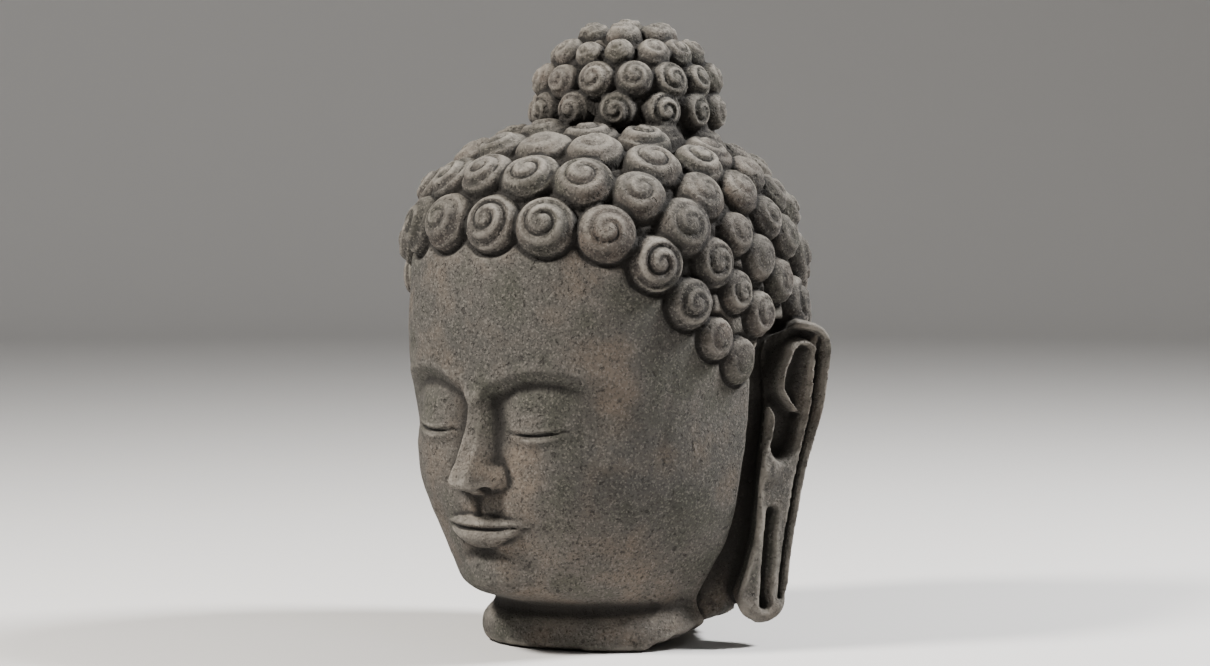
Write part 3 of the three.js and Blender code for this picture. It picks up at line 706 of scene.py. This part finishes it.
def cut_lobe(u, v, inset, behind, face):
    """Adds the lobe's slit, lines and thick end, the rear groove and the rounded edges."""
    from_slit = u - EAR_SLIT.high_u - EAR_SLIT.shift * ease(*EAR_SLIT.run, v)
    beyond = np.maximum(0, np.abs(v - EAR_SLIT.middle) - EAR_SLIT.reach)
    rear_line = line(from_slit - SLIT_LINES.rear, SLIT_LINES.rear_width)
    front_line = line(from_slit + SLIT_LINES.front, SLIT_LINES.front_width)
    in_lobe = between(SLIT_LINES.low, SLIT_LINES.high, v, SLIT_LINES.soft)
    face = face + SLIT_LINES.height * in_lobe * (rear_line + front_line)
    face = face + LOBE_END.height * ease(*LOBE_END.run, v)
    slit = groove(np.hypot(from_slit, beyond), EAR_SLIT.half_width, EAR_SLIT.depth)
    face = np.minimum(face, slit + GROOVE_LIP)
    upper = ease(*GROOVE_TOP.run, v)
    off_groove = inset - REAR_GROOVE.inset - GROOVE_TOP.inset * upper
    beyond = np.maximum(0, np.abs(v) - REAR_GROOVE.reach)
    half_width = REAR_GROOVE.half_width + GROOVE_TOP.half_width * upper
    depth = REAR_GROOVE.depth + GROOVE_TOP.depth * upper
    rear = groove(np.hypot(off_groove, beyond), half_width, depth) + GROOVE_LIP
    face = np.minimum(face, np.where(behind > 0, rear, FAR))
    edge = EDGE_ROUND.drop * np.clip(1 - inset / EDGE_ROUND.width, 0, 1) ** 2
    lobe_edge = LOBE_ROUND.drop * np.clip(1 - inset / LOBE_ROUND.width, 0, 1) ** 2
    return face - edge - lobe_edge * ease(*LOBE_ROUND.run, v)


def ear_covers(place):
    """Whether a place lies inside an ear's outline or in the gap before it."""
    u, v, w = ear_places(abs(place[0]), place[1], place[2])
    inset, behind = ear_inset(u, v)
    margin = EAR_GAP.width if behind < 0 and v < CURL_FREE.below else CURL_FREE.margin
    return w > -CURL_FREE.depth and inset > -margin


def add_ear(grid, stone, broken, side):
    """Clears a gap before the ear, sets the ear's slab in it and carves its face."""
    middle = EAR_MIDDLE * (side, 1, 1)
    ranges, x, y, z = grid.part(middle - EAR_ROOM, middle + EAR_ROOM)
    u, v, w = ear_places(side * x, y, z)
    inset, behind = ear_inset(u, v)
    face = ear_relief(u, v)
    gap_width = EAR_GAP.width * ease(*EAR_GAP.closes, v) * (behind < 0)
    gap = np.maximum(-inset - gap_width, EAR_GAP.floor - w)
    wall = w + EAR_REAR_WALL * ease(*EAR_REAR, behind)
    slab = soft_max(-inset - EAR_UNDERCUT * np.minimum(0, wall), w - face, EAR_SOFT)
    slab = soft_max(slab, -w - EAR_DEPTH, EAR_SOFT)
    web = soft_max(-inset - gap_width - EAR_UNDERCUT * wall, w - EAR_WEB.face, EAR_WEB.soft)
    web = soft_max(np.maximum(web, -w - EAR_WEB.depth), broken[ranges], EAR_WEB.break_soft)
    part = soft_max(stone[ranges], -gap, EAR_GAP.soft)
    part = soft_min(soft_min(part, web, EAR_WEB.fillet), slab, EAR_FILLET)
    stone[ranges] = np.maximum(part, np.minimum(inset - FACE_INSET, w - face))


def ear_painted_shade(points):
    """How much painted shade lies deep in the ears' carving."""
    x, y, z = points.T
    u, v, w = ear_places(np.abs(x), y, z)
    inset, _ = ear_inset(u, v)
    off_face = np.abs(w - ear_relief(u, v))
    on_face = ease(*EAR_PAINTED_SHADE.inset, inset) * (1 - ease(*EAR_PAINTED_SHADE.off_face, off_face))
    return on_face * ease(*EAR_PAINTED_SHADE.depths, -w)


# The stone as one field on a grid

class Grid:
    def __init__(self):
        low = np.array([p / MM for p in cad_box[0]]) - MARGIN
        high = np.array([p / MM for p in cad_box[1]]) + MARGIN
        self.low = low
        self.axes = [np.arange(a, b + VOXEL, VOXEL) for a, b in zip(low, high)]
        self.shape = tuple(len(a) for a in self.axes)

    def part(self, low, high):
        """Index ranges and coordinates of the part of the grid inside a box."""
        ranges = tuple(slice(*np.searchsorted(axis, ends)) for axis, *ends in zip(self.axes, low, high))
        return ranges, *np.ix_(*[axis[r] for axis, r in zip(self.axes, ranges)])

    def noise(self, spacing):
        """Smooth random unevenness of about unit size, blended from a coarse lattice."""
        weights = []
        for axis in self.axes:
            place = (axis - axis[0]) / spacing
            cell = np.floor(place).astype(int)
            t = place - cell
            second = 3 * t ** 3 - 6 * t ** 2 + 4
            third = 3 * (1 - t) ** 3 - 6 * (1 - t) ** 2 + 4
            matrix = np.zeros((len(axis), cell.max() + 4), np.float32)
            for offset, weight in enumerate([(1 - t) ** 3, second, third, t ** 3]):
                matrix[np.arange(len(axis)), cell + offset] = weight / 6
            weights.append(matrix)
        lattice = random.standard_normal([m.shape[1] for m in weights]).astype(np.float32)
        for matrix in weights:
            lattice = np.tensordot(lattice, matrix, axes=(0, 1))
        return lattice / lattice.std()


def carve_nostrils(grid, stone):
    for side in (-1, 1):
        middle = np.array([side * NOSTRIL.side, NOSTRIL.y, NOSTRIL.z])
        ranges, x, y, z = grid.part(middle - NOSTRIL.room, middle + NOSTRIL.room)
        share = np.sqrt(sum(((p - m) / r) ** 2 for p, m, r in zip((x, y, z), middle, NOSTRIL.radii)))
        stone[ranges] = np.maximum(stone[ranges], (1 - share) * NOSTRIL.radii.min())


def make_field(grid):
    """The whole stone, below 0 inside, and where the hair and its gaps are."""
    x, y, z = [place.astype(np.float32) for place in np.ix_(*grid.axes)]
    bare = head_field(x, y, z).astype(np.float32)
    rings = np.concatenate([hair_ring(row) for row in range(HAIR_ROWS)])
    free = [curl for curl in rings if bun_field(*curl[:3]) > INSIDE_BUN and not ear_covers(curl[:3])]
    stone, hair, gaps = with_curls(grid, bare, free, CURL)
    rings = np.concatenate([bun_ring(row, *spread) for row, spread in enumerate(BUN_ROWS)])
    bun, _, bun_gaps = with_curls(grid, bun_field(x, y, z).astype(np.float32), rings, BUN_CURL)
    gaps = np.where(bun < stone, bun_gaps, gaps)
    stone = np.minimum(stone, bun)
    hair = np.maximum(hair, np.clip((bare - stone) / HAIR_BLEND, 0, 1))
    carve_nostrils(grid, stone)
    fine = grid.noise(FINE.spacing)
    coarse = grid.noise(COARSE.spacing)
    out = x * math.cos(BREAK_HEADING) + y * math.sin(BREAK_HEADING) - BREAK_START
    climb = (np.sqrt(out ** 2 + BREAK_BEND ** 2) + out) / 2 * math.tan(BREAK_SLOPE)
    rough = COARSE.at_break * coarse + FINE.at_break * fine
    broken = np.maximum(0, climb - SEAT_FLAT + rough) - z
    stone = soft_max(stone, broken, SEAT_ROUND)
    for side in (1, -1):
        add_ear(grid, stone, broken, side)
    stone = stone + FINE.depth * fine + COARSE.depth * coarse
    return np.maximum(stone, -z), hair, gaps


# Mesh

CORNERS = np.array([(i, j, k) for i in (0, 1) for j in (0, 1) for k in (0, 1)])
EDGES = [(a, b) for a in CORNERS for b in CORNERS if (b - a).sum() == 1 and (b >= a).all()]


def square_corner(values, axes, steps):
    """One corner of every square of grid points across two axes."""
    ranges = [slice(None)] * 3
    for axis, step in zip(axes, steps):
        ranges[axis] = slice(step, values.shape[axis] - 1 + step)
    return values[tuple(ranges)]


def fill_touching_edges(field):
    """Fills in where stone meets stone along a mere edge of the grid."""
    for _ in range(FILL_ROUNDS):
        inside = field < 0
        filled = np.zeros(field.shape, bool)
        for axes in ((0, 1), (0, 2), (1, 2)):
            for diagonal in (((0, 0), (1, 1)), ((1, 0), (0, 1))):
                full = [square_corner(inside, axes, steps) for steps in diagonal]
                others = [(1 - steps[0], steps[1]) for steps in diagonal]
                empty = [~square_corner(inside, axes, steps) for steps in others]
                touching = np.logical_and.reduce(full + empty)
                first, second = [square_corner(field, axes, steps) for steps in others]
                square_corner(filled, axes, others[0])[...] |= touching & (first <= second)
                square_corner(filled, axes, others[1])[...] |= touching & (first > second)
        if not filled.any():
            break
        field[filled] = -FILL_DEPTH


def crossed_cells(field, cells):
    """The middle of the places where the surface crosses each cell's edges."""
    total = np.zeros((len(cells), 3))
    crossings = np.zeros(len(cells))
    for a, b in EDGES:
        start = field[tuple((cells + a).T)]
        end = field[tuple((cells + b).T)]
        crossed = (start < 0) != (end < 0)
        share = np.where(crossed, start / np.where(crossed, start - end, 1), 0)
        total += np.where(crossed[:, None], a + share[:, None] * (b - a), 0)
        crossings += crossed
    return cells + total / crossings[:, None]


def surface_of(field):
    """The surface where the field is 0: a vertex in each crossed cell, a face on each crossed edge."""
    inside = field < 0
    count = np.zeros(tuple(n - 1 for n in field.shape), np.uint8)
    for corner in CORNERS:
        count += inside[tuple(slice(c, n - 1 + c) for c, n in zip(corner, field.shape))]
    cells = np.argwhere((count > 0) & (count < len(CORNERS)))
    number = np.full(count.shape, -1, np.int64)
    number[tuple(cells.T)] = np.arange(len(cells))
    faces = []
    for axis in range(3):
        others = [a for a in range(3) if a != axis]
        near = np.take(inside, range(field.shape[axis] - 1), axis)
        far = np.take(inside, range(1, field.shape[axis]), axis)
        edges = np.argwhere(near != far)
        leaving = near[tuple(edges.T)]
        ring = []
        for p, q in ((-1, -1), (0, -1), (0, 0), (-1, 0)):
            cell = edges.copy()
            cell[:, others[0]] += p
            cell[:, others[1]] += q
            ring.append(number[tuple(cell.T)])
        quad = np.stack(ring, 1)
        kept = leaving if axis != 1 else ~leaving
        quad[~kept] = quad[~kept][:, ::-1]
        faces.append(quad)
    return crossed_cells(field, cells), np.concatenate(faces)


def largest_part(places, faces):
    """The largest part of a surface, without specks and closed pockets."""
    ends = np.sort(np.stack([faces, np.roll(faces, -1, axis=1)], 2), axis=2)
    names, edges = np.unique(ends[..., 0] * len(places) + ends[..., 1], return_inverse=True)
    edges = edges.reshape(faces.shape)
    label = np.arange(len(names))
    while True:
        lowest = label[edges].min(axis=1)
        spread = label.copy()
        for column in edges.T:
            np.minimum.at(spread, column, lowest)
        spread = spread[spread]
        if np.array_equal(spread, label):
            break
        label = spread
    faces = faces[(label == np.bincount(label).argmax())[edges[:, 0]]]
    used = np.zeros(len(places), bool)
    used[faces] = True
    return places[used], (np.cumsum(used) - 1)[faces]


def sample(field, places):
    """The field between its grid points."""
    base = np.clip(np.floor(places).astype(int), 0, np.array(field.shape) - 2)
    share = places - base
    result = np.zeros(len(places))
    for corner in CORNERS:
        weight = np.prod(np.where(corner, share, 1 - share), axis=1)
        result += weight * field[tuple((base + corner).T)]
    return result


def settle(field, places):
    """Moves the vertices onto the surface, at most half a cell in each round."""
    steps = HALF_CELL * np.eye(3)
    for _ in range(SETTLE_ROUNDS):
        value = sample(field, places)
        slope = np.stack([sample(field, places + s) - sample(field, places - s) for s in steps], 1)
        square = np.maximum(LEAST_SLOPE * VOXEL ** 2, (slope ** 2).sum(1))
        move = -(value / square)[:, None] * slope
        places = places + np.clip(move, -HALF_CELL, HALF_CELL)
    return places


def blurred(values, radius):
    """The mean over a cube around each grid point."""
    width = 2 * radius + 1
    for axis in range(3):
        padding = [(0, 0)] * 3
        padding[axis] = (radius + 1, radius)
        total = np.cumsum(np.pad(values, padding, mode="edge"), axis=axis, dtype=np.float32)
        after = np.take(total, range(width, total.shape[axis]), axis)
        before = np.take(total, range(0, total.shape[axis] - width), axis)
        values = (after - before) / width
    return values


def new_object(name, data):
    added = bpy.data.objects.new(name, data)
    bpy.context.scene.collection.objects.link(added)
    return added


def new_mesh(points, faces):
    mesh = bpy.data.meshes.new("carved_head")
    mesh.vertices.add(len(points))
    mesh.vertices.foreach_set("co", points.astype(np.float32).ravel())
    mesh.loops.add(faces.size)
    mesh.loops.foreach_set("vertex_index", faces.astype(np.int32).ravel())
    mesh.polygons.add(len(faces))
    mesh.polygons.foreach_set("loop_start", np.arange(0, faces.size, faces.shape[1], dtype=np.int32))
    mesh.update(calc_edges=True)
    mesh.validate()
    return mesh


def thin_out(head, triangles):
    """Merges the flattest triangles until few enough are left."""
    thin = head.modifiers.new("thin", "DECIMATE")
    thin.ratio = TRIANGLES / triangles
    graph = bpy.context.evaluated_depsgraph_get()
    kept = bpy.data.meshes.new_from_object(head.evaluated_get(graph))
    head.modifiers.clear()
    head.data = kept


def make_head():
    grid = Grid()
    field, hair, gaps = make_field(grid)
    fill_touching_edges(field)
    places, faces = largest_part(*surface_of(field))
    points = (grid.low + settle(field, places) * VOXEL) * MM
    head = new_object("carved_head", new_mesh(points, faces))
    if 2 * len(faces) > TRIANGLES:
        thin_out(head, 2 * len(faces))
    mesh = head.data
    mesh.shade_smooth()
    points = np.zeros(3 * len(mesh.vertices), np.float32)
    mesh.vertices.foreach_get("co", points)
    points = points.reshape(-1, 3) / MM
    places = (points - grid.low) / VOXEL
    # Blurred measures of fill, hair and gaps: the material's dirt and painted shade in hollows, sheltered
    # places and between curls come from them.
    filled = np.clip(0.5 - field / (2 * VOXEL), 0, 1).astype(np.float32)
    layers = {name: blurred(filled, max(1, round(reach / VOXEL))) for name, reach in SHADE_REACHES}
    layers["hair"] = blurred(hair, 1)
    layers["gaps"] = blurred(gaps, 1)
    shades = {name: sample(values, places) for name, values in layers.items()}
    shades["ear_painted_shade"] = ear_painted_shade(points)
    for name, values in shades.items():
        layer = mesh.attributes.new(name, "FLOAT", "POINT")
        layer.data.foreach_set("value", values.astype(np.float32))
    return head


# Stone

class Nodes:
    """Short ways of adding and joining shader nodes."""

    def __init__(self, material):
        material.use_nodes = True
        self.tree = material.node_tree
        self.tree.nodes.clear()

    def add(self, kind, **settings):
        node = self.tree.nodes.new(kind)
        for name, value in settings.items():
            setattr(node, name, value)
        return node

    def set(self, socket, value):
        """Joins another node's output to a socket, or sets a constant on it."""
        if hasattr(value, "is_output"):
            self.tree.links.new(value, socket)
        else:
            socket.default_value = value

    def place(self, node, **values):
        for name, value in values.items():
            self.set(node.inputs[name.replace("_", " ")], value)

    def attribute(self, name):
        return self.add("ShaderNodeAttribute", attribute_name=name).outputs["Fac"]

    def noise(self, vector, scale, detail, roughness=0.55):
        node = self.add("ShaderNodeTexNoise")
        self.place(node, Vector=vector, Scale=scale, Detail=detail, Roughness=roughness)
        return node.outputs["Fac"]

    def ramp(self, factor, stops):
        node = self.add("ShaderNodeValToRGB")
        ramp = node.color_ramp
        for index, (place, colour) in enumerate(stops):
            stop = ramp.elements[index] if index < 2 else ramp.elements.new(place)
            stop.position = place
            stop.color = (*colour, 1)
        self.place(node, Fac=factor)
        return node.outputs["Color"]

    def span(self, value, low, high, to_low=0.0, to_high=1.0):
        node = self.add("ShaderNodeMapRange", interpolation_type="SMOOTHSTEP")
        self.place(node, Value=value, From_Min=low, From_Max=high, To_Min=to_low, To_Max=to_high)
        return node.outputs["Result"]

    def math(self, operation, first, second):
        node = self.add("ShaderNodeMath", operation=operation)
        for socket, value in zip(node.inputs, (first, second)):
            self.set(socket, value)
        return node.outputs["Value"]

    def most(self, spans):
        """The most of some attributes, each over its own span."""
        amount = 0.0
        for name, *span in spans:
            amount = self.math("MAXIMUM", amount, self.span(self.attribute(name), *span))
        return amount

    def mix(self, factor, first, second, blend="MIX"):
        node = self.add("ShaderNodeMix", data_type="RGBA", blend_type=blend)
        for name, value in (("Factor_Float", factor), ("A_Color", first), ("B_Color", second)):
            socket = next(s for s in node.inputs if s.identifier == name)
            self.set(socket, (*value, 1) if isinstance(value, tuple) else value)
        return next(s for s in node.outputs if s.identifier == "Result_Color")


def cloudy_stone(nodes, place):
    """The stone's cloudy base colour, darker in the hair."""
    colour = nodes.ramp(nodes.noise(place, *CLOUDS), STONE_STOPS)
    tint = nodes.ramp(nodes.noise(place, *TINTS), TINT_STOPS)
    colour = nodes.mix(TINT_SHARE, colour, tint, "MULTIPLY")
    hair_tint = nodes.ramp(nodes.noise(place, *HAIR_CLOUDS), HAIR_STOPS)
    hair_share = nodes.math("MULTIPLY", nodes.attribute("hair"), HAIR_SHARE)
    return nodes.mix(hair_share, colour, hair_tint, "MULTIPLY")


def with_grains(nodes, place, colour):
    """Light and dark mineral grains."""
    grain = nodes.add("ShaderNodeTexVoronoi")
    nodes.place(grain, Vector=place, Scale=GRAIN_SCALE)
    chance = nodes.add("ShaderNodeSeparateColor")
    nodes.place(chance, Color=grain.outputs["Color"])
    for channel, span, paint in GRAINS:
        colour = nodes.mix(nodes.span(chance.outputs[channel], *span), colour, paint)
    return colour


def with_weather_and_painted_light(nodes, place, colour):
    """Dust on top, pale rubbed edges that are partly painted highlight, dirt and painted shade in grooves
    and between curls, and painted shade in hollows, sheltered places and deep in the ears.
    """
    normal = nodes.add("ShaderNodeSeparateXYZ")
    nodes.place(normal, Vector=nodes.add("ShaderNodeNewGeometry").outputs["Normal"])
    clouds = nodes.span(nodes.noise(place, *DUST_CLOUDS), *DUST_SPAN)
    dust = nodes.math("MULTIPLY", nodes.span(normal.outputs["Z"], *DUST_SLOPE), clouds)
    colour = nodes.mix(dust, colour, DUST_COLOUR)
    # Pale rubbed edges, partly painted highlight.
    patches = nodes.span(nodes.noise(place, *WEAR_PATCHES), *WEAR_SPAN)
    worn_and_highlight = nodes.math("MULTIPLY", nodes.span(nodes.attribute("cavity"), *WORN_AND_HIGHLIGHT_SPAN), patches)
    colour = nodes.mix(worn_and_highlight, colour, WORN_AND_HIGHLIGHT_COLOUR)
    # Dirt and painted shade in grooves and between curls.
    colour = nodes.mix(nodes.most(DIRT_AND_SHADE_SPANS), colour, DIRT_AND_SHADE_COLOUR)
    # Painted shade in hollows, sheltered places and deep in the ears.
    return nodes.mix(nodes.most(SHADE_SPANS), colour, PIT_AND_SHADE_COLOUR)


def andesite():
    material = bpy.data.materials.new("andesite")
    nodes = Nodes(material)
    place = nodes.add("ShaderNodeTexCoord").outputs["Object"]
    pores = nodes.span(nodes.noise(place, *PORES), *PORE_SPAN)
    pits = nodes.span(nodes.noise(place, *PITS), *PIT_SPAN)
    pits = nodes.math("MAXIMUM", nodes.math("MULTIPLY", pores, PORE_SHARE), pits)
    colour = with_grains(nodes, place, cloudy_stone(nodes, place))
    colour = nodes.mix(nodes.math("MULTIPLY", pits, PIT_SHARE), colour, PIT_AND_SHADE_COLOUR)
    colour = with_weather_and_painted_light(nodes, place, colour)
    grain = nodes.noise(place, *ROUGH_GRAIN)
    relief = nodes.math("SUBTRACT", grain, nodes.math("MULTIPLY", pits, PIT_DEPTH))
    bump = nodes.add("ShaderNodeBump")
    nodes.place(bump, Height=relief, Strength=0.9, Distance=0.0015)
    normal = bump.outputs["Normal"]
    shader = nodes.add("ShaderNodeBsdfPrincipled")
    nodes.place(shader, Base_Color=colour, Roughness=0.93, Specular_IOR_Level=0.25, Normal=normal)
    output = nodes.add("ShaderNodeOutputMaterial")
    nodes.place(output, Surface=shader.outputs["BSDF"])
    return material


# Studio

def from_view(turn, rise, distance):
    """A step of some length, in degrees to the right of the camera's side and above the level."""
    azimuth = math.radians(VIEW_AZIMUTH + turn)
    level = math.cos(math.radians(rise))
    height = math.sin(math.radians(rise))
    return distance * Vector((math.sin(azimuth) * level, -math.cos(azimuth) * level, height))


def aimed(step):
    """The turn of what stands a step away from the thing it looks at."""
    return (-step).to_track_quat("-Z", "Y").to_euler()


def add_light(name, turn, rise, distance, size, power, colour):
    data = bpy.data.lights.new(name, "AREA")
    data.shape = "DISK"
    data.size = size
    data.energy = power
    data.color = colour
    light = new_object(name, data)
    step = from_view(turn, rise, distance)
    light.location = LIGHT_AIM + step
    light.rotation_euler = aimed(step)


def bowl_mesh():
    """A round floor that turns up into a wall."""
    bends = np.linspace(0, math.pi / 2, STUDIO_STEPS)
    radii = STUDIO_FLOOR + STUDIO_BEND * np.append(np.sin(bends), 1)
    heights = np.append(STUDIO_BEND * (1 - np.cos(bends)), STUDIO_HEIGHT)
    points = [(0, 0, 0)]
    for radius, height in zip(radii, heights):
        for turn in np.linspace(0, TAU, STUDIO_SIDES, endpoint=False):
            points.append((radius * math.cos(turn), radius * math.sin(turn), height))
    faces = []
    for side in range(1, STUDIO_SIDES + 1):
        after = side % STUDIO_SIDES + 1
        faces.append((0, side, after))
        for low in range(0, (len(radii) - 1) * STUDIO_SIDES, STUDIO_SIDES):
            high = low + STUDIO_SIDES
            faces.append((side + high, after + high, after + low, side + low))
    mesh = bpy.data.meshes.new("floor")
    mesh.from_pydata(points, [], faces)
    mesh.shade_smooth()
    return mesh


def make_studio():
    material = bpy.data.materials.new("pale_floor")
    material.use_nodes = True
    shader = material.node_tree.nodes["Principled BSDF"]
    shader.inputs["Base Color"].default_value = FLOOR_COLOUR
    shader.inputs["Roughness"].default_value = FLOOR_ROUGHNESS
    floor = new_object("floor", bowl_mesh())
    floor.data.materials.append(material)
    world = bpy.data.worlds.new("studio")
    bpy.context.scene.world = world
    world.use_nodes = True
    background = world.node_tree.nodes["Background"]
    background.inputs["Color"].default_value = SKY_COLOUR
    background.inputs["Strength"].default_value = SKY_STRENGTH
    for light in LIGHTS:
        add_light(*light)


def make_camera():
    data = bpy.data.cameras.new("camera")
    data.sensor_width = SENSOR_WIDTH
    data.lens = SENSOR_WIDTH * VIEW_DISTANCE / (PHOTO_WIDTH * MM_PER_PIXEL * MM)
    camera = new_object("camera", data)
    step = from_view(0, VIEW_ELEVATION, VIEW_DISTANCE)
    camera.location = VIEW_AIM + step
    camera.rotation_euler = aimed(step)
    bpy.context.scene.camera = camera


make_camera()
head = make_head()
head.data.materials.append(andesite())
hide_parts("buddha_head")
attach(head, "root")
make_studio()
